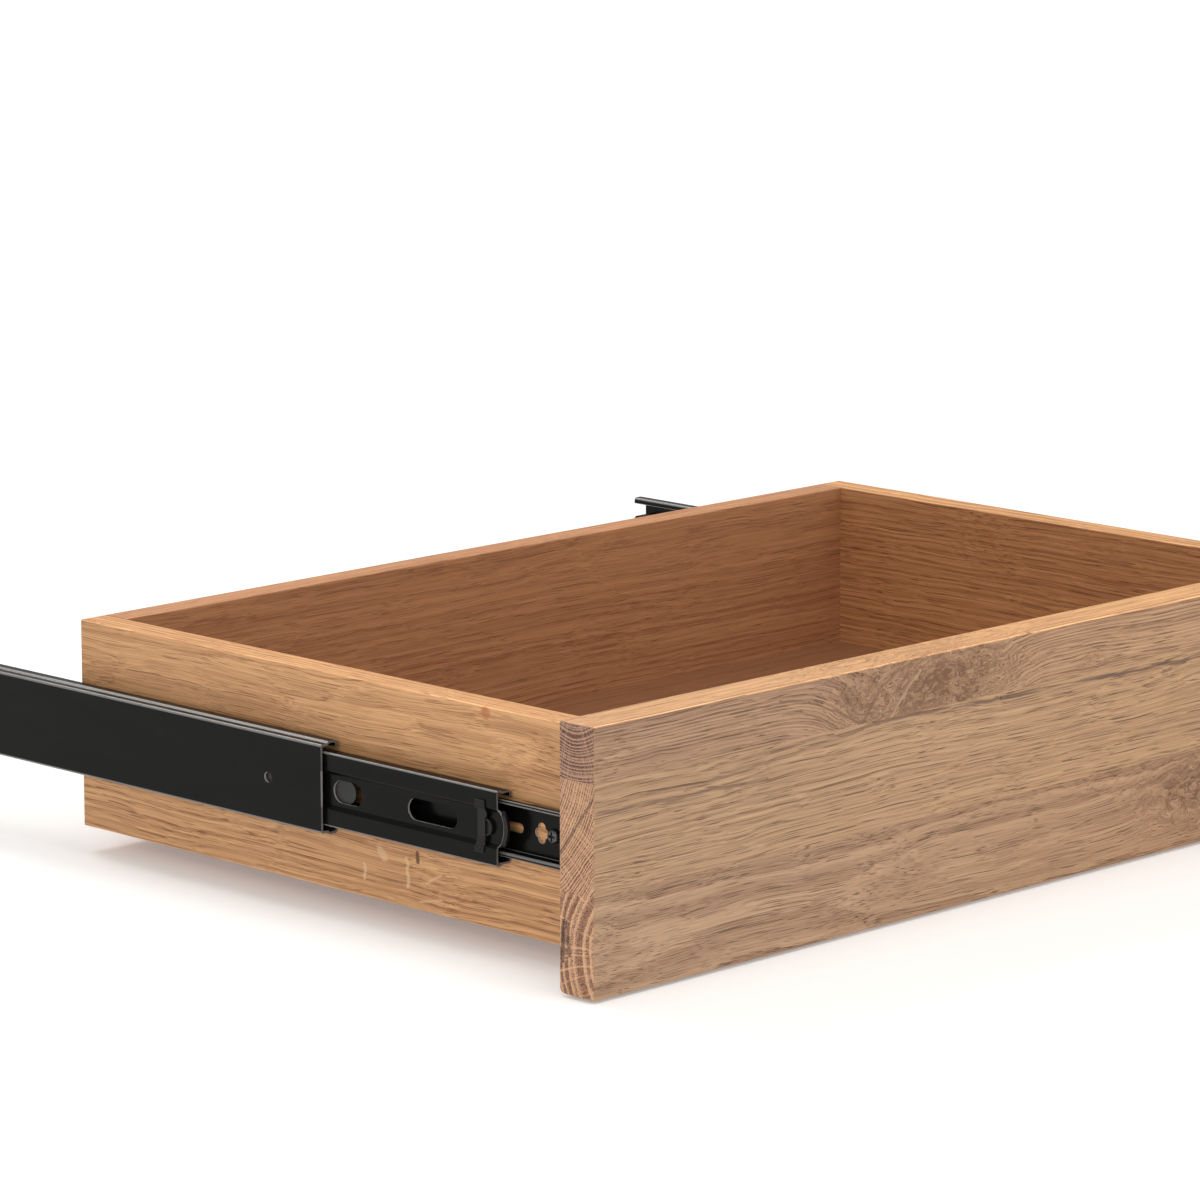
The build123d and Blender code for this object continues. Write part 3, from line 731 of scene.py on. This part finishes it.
# Where the slides' coat is paler and metallic: a painted highlight on the bends and cut ends, and
# worn bare metal with a painted highlight on the hole walls. Hole walls face away from X inside the
# web, bends face between X and Z beyond it, and cut ends face along Y. Heights are millimetres
WALL_FACING = (0.5, 0.2)
WALL_HEIGHT = (8.8, 8.4)
WALL_WEAR_AND_HIGHLIGHT = 0.9
BEND_FACING = (0.12, 0.4)
BEND_HEIGHT = (10.0, 10.6)
BEND_PAINTED_HIGHLIGHT = 0.35
CUT_FACING = (0.6, 0.9)
CUT_PAINTED_HIGHLIGHT = 0.3

# The coat's shades in linear colour, and its noises in cells to the millimetre
COAT_DARK = (0.002, 0.002, 0.0019, 1.0)
COAT_LIGHT = (0.006, 0.0058, 0.0054, 1.0)
COAT_DUST = (0.1, 0.098, 0.09, 1.0)
COAT_WORN_AND_HIGHLIGHT = (0.6, 0.59, 0.57, 1.0)
PEEL_CELLS = (1.1, 0.8, 1.1)
SMEAR_CELLS = (0.1, 0.02, 0.12)
DUST_CELLS = (1.9, 1.9, 1.9)
DUST_STEP = (0.75, 0.8)
DUST_STRENGTH = 0.3
WEAR_AND_HIGHLIGHT_METAL = 0.5
COAT_ROUGH = 0.16
SMEAR_ROUGH = 0.12


def black_coat():
    """Black coat on rolled steel: glossy, faintly uneven, paler and metallic as a painted highlight
    on bends and cut ends, and worn bare with a painted highlight on hole walls.
    """
    g = Graph("slide_black_coat")
    place = g.place()
    smear = g.speckle(place, SMEAR_CELLS, detail=3.0)
    dust = g.step(g.speckle(place, DUST_CELLS, detail=1.0), *DUST_STEP)
    color = g.mix(smear, COAT_DARK, COAT_LIGHT)
    color = g.mix(g.mul(dust, DUST_STRENGTH), color, COAT_DUST)

    facing_x, facing_y, facing_z = [g.magnitude(part) for part in g.normal()]
    height = g.magnitude(place[2])
    # worn is the paler metallic colour: a painted highlight on bends and cut ends, worn bare metal
    # with a painted highlight on hole walls
    wall = g.mul(g.step(facing_x, *WALL_FACING), g.step(height, *WALL_HEIGHT))
    turn = g.mul(g.mul(facing_x, facing_z), g.step(height, *BEND_HEIGHT))
    bend = g.step(turn, *BEND_FACING, 0.0, BEND_PAINTED_HIGHLIGHT)
    cut_end = g.step(facing_y, *CUT_FACING, 0.0, CUT_PAINTED_HIGHLIGHT)
    worn = g.larger(g.mul(wall, WALL_WEAR_AND_HIGHLIGHT), g.larger(cut_end, bend))
    color = g.mix(worn, color, COAT_WORN_AND_HIGHLIGHT)

    rough = g.plus_part(COAT_ROUGH, smear, SMEAR_ROUGH)
    peel = g.speckle(place, PEEL_CELLS, detail=2.0)
    return g.finish(color, rough, peel, distance=0.00003, strength=0.2,
                    metallic=g.mul(worn, WEAR_AND_HIGHLIGHT_METAL), specular=0.09, edge=0.0004)


def plain_finish(name, cells, detail, dark, light, rough, rough_part, relief, strength,
                 shades=None, **surface):
    """Two shades, roughness and relief that all follow one fine noise.

    Relief is metres. Shades is a smooth step that sharpens the change of shade, and surface
    is what else Graph.finish takes.
    """
    g = Graph(name)
    grit = g.speckle(g.place(), cells, detail)
    share = g.step(grit, *shades) if shades else grit
    color = g.mix(share, (*dark, 1.0), (*light, 1.0))
    roughness = g.plus_part(rough, grit, rough_part)
    return g.finish(color, roughness, grit, distance=relief, strength=strength, **surface)


def screw_black():
    """Blackened steel, worn paler in patches."""
    return plain_finish(
        "screw_black", cells=(1.6, 1.6, 1.6), detail=3.0, shades=(0.45, 0.75),
        dark=(0.06, 0.06, 0.06), light=(0.2, 0.2, 0.2), rough=0.28, rough_part=0.2,
        relief=0.00003, strength=0.3, metallic=0.9, edge=0.0003)


def moulded_plastic():
    """Fine-grained black plastic."""
    return plain_finish(
        "clip_plastic", cells=(3.0, 3.0, 3.0), detail=3.0,
        dark=(0.004, 0.004, 0.0038), light=(0.014, 0.0136, 0.0125), rough=0.34, rough_part=0.12,
        relief=0.00006, strength=0.5, specular=0.22, edge=0.0003)


def stop_rubber():
    """Dull black rubber."""
    return plain_finish(
        "stop_rubber", cells=(1.4, 1.4, 1.4), detail=4.0,
        dark=(0.012, 0.012, 0.012), light=(0.028, 0.027, 0.026), rough=0.7, rough_part=0.15,
        relief=0.00008, strength=0.5, specular=0.3)


def cage_black():
    """Black strip, rolled along the slide."""
    return plain_finish(
        "cage_black", cells=(3.0, 0.08, 3.0), detail=3.0,
        dark=(0.008, 0.008, 0.008), light=(0.03, 0.03, 0.029), rough=0.34, rough_part=0.2,
        relief=0.00003, strength=0.4, specular=0.35)


def ball_steel():
    """Bright oiled steel."""
    return plain_finish(
        "ball_steel", cells=(0.9, 0.9, 0.9), detail=2.0,
        dark=(0.62, 0.61, 0.59), light=(0.78, 0.78, 0.77), rough=0.06, rough_part=0.1,
        relief=0.00001, strength=0.2, metallic=1.0)


# ----------------------------------------------------------------- dressing


def dress(nodes, material, *names):
    """Give whole CAD nodes one material."""
    for name in names:
        slots = nodes[name].data.materials
        slots.clear()
        slots.append(material)


def dress_pair(nodes, material, *names):
    """Give the left and the right of each piece one material."""
    for name in names:
        dress(nodes, material, name + "_left", name + "_right")


def dress_wood(nodes):
    boards = {
        "front_stave_top": top_stave(),
        "front_stave_middle": middle_stave(),
        "front_stave_bottom": bottom_stave(),
        "side_left": left_side(),
        "side_right": right_side(),
        "back": back_board(),
        "bottom_panel": bottom_panel()}
    for name, oak in boards.items():
        dress(nodes, oak_material(oak, name), name)
    dress(nodes, oak_material(beech_dowel(), "front_dowels"), "front_dowels", "back_dowels")


def dress_slides(nodes):
    dress_pair(nodes, black_coat(), "outer_member", "middle_member", "inner_member")
    dress_pair(nodes, screw_black(), "inner_screws")
    dress_pair(nodes, moulded_plastic(), "retainer_clip", "front_bumper")
    dress_pair(nodes, stop_rubber(), "rear_stop")
    dress_pair(nodes, cage_black(), "outer_cage", "inner_cage")
    dress_pair(nodes, ball_steel(), "outer_balls", "inner_balls")


# ------------------------------------------------------ floor, lights, camera

FLOOR_CELLS = (0.004, 0.004, 0.0)
FLOOR_GREY = (0.93, 0.93, 0.925, 1.0)
FLOOR_PALE = (0.95, 0.95, 0.945, 1.0)
FLOOR_ROUGH = 0.9
FLOOR_SPECULAR = 0.1


@dataclass
class Softbox:
    """A rectangular lamp that looks at the origin, in metres and watts."""
    name: str
    place: tuple
    size: tuple
    power: float
    color: tuple


SOFTBOXES = (
    Softbox("overhead", (-0.3, -0.5, 2.2), (1.8, 1.8), 20.0, (1.0, 0.98, 0.95)),
    Softbox("behind", (0.1, 1.9, 2.0), (1.4, 0.9), 24.0, (1.0, 0.985, 0.96)),
    Softbox("front", (0.7, -2.5, 0.9), (2.0, 1.4), 17.0, (1.0, 0.985, 0.97)),
    Softbox("left", (-2.5, -0.5, 1.0), (1.8, 1.4), 15.0, (1.0, 0.975, 0.94)))


def floor(low):
    """A pale floor just under the object."""
    g = Graph("pale_floor")
    place = g.place()
    color = g.mix(g.speckle(place, FLOOR_CELLS, detail=2.0), FLOOR_GREY, FLOOR_PALE)
    glow = g.step(g.length(place[0], place[1]), *GLOW_REACH, *GLOW_STRENGTH)
    material = g.finish(color, FLOOR_ROUGH, specular=FLOOR_SPECULAR, glow=glow)
    bpy.ops.mesh.primitive_plane_add(size=FLOOR_SIZE, location=(0, 0, low - FLOOR_DROP))
    plane = bpy.context.object
    plane.name = "floor"
    plane.data.materials.append(material)


def softbox(box):
    """One lamp, turned to the origin."""
    light = bpy.data.lights.new(box.name, "AREA")
    light.shape = "RECTANGLE"
    light.size, light.size_y = box.size
    light.energy = box.power
    light.color = box.color
    lamp = bpy.data.objects.new(box.name, light)
    lamp.location = box.place
    lamp.rotation_euler = (-Vector(box.place)).to_track_quat("-Z", "Y").to_euler()
    bpy.context.scene.collection.objects.link(lamp)


def lights():
    """Four soft lamps and a little even light from all around."""
    for box in SOFTBOXES:
        softbox(box)
    world = bpy.data.worlds.new("studio")
    world.use_nodes = True
    sky = world.node_tree.nodes["Background"]
    sky.inputs["Color"].default_value = WHITE
    sky.inputs["Strength"].default_value = WORLD_STRENGTH
    bpy.context.scene.world = world
    bpy.context.scene.view_settings.view_transform = "Standard"


def camera():
    lens = bpy.data.cameras.new("camera")
    lens.lens = CAMERA_LENS
    lens.sensor_width = CAMERA_SENSOR
    lens.clip_end = CAMERA_REACH
    view = bpy.data.objects.new("camera", lens)
    view.location = CAMERA_PLACE
    tilt = math.radians(CAMERA_LEVEL - CAMERA_PITCH)
    view.rotation_euler = Euler((tilt, 0, math.radians(-CAMERA_YAW)))
    bpy.context.scene.collection.objects.link(view)
    bpy.context.scene.camera = view


def main():
    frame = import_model()
    cad_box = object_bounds()
    dress_wood(frame["nodes"])
    dress_slides(frame["nodes"])
    floor(cad_box[0].z)
    lights()
    camera()


main()
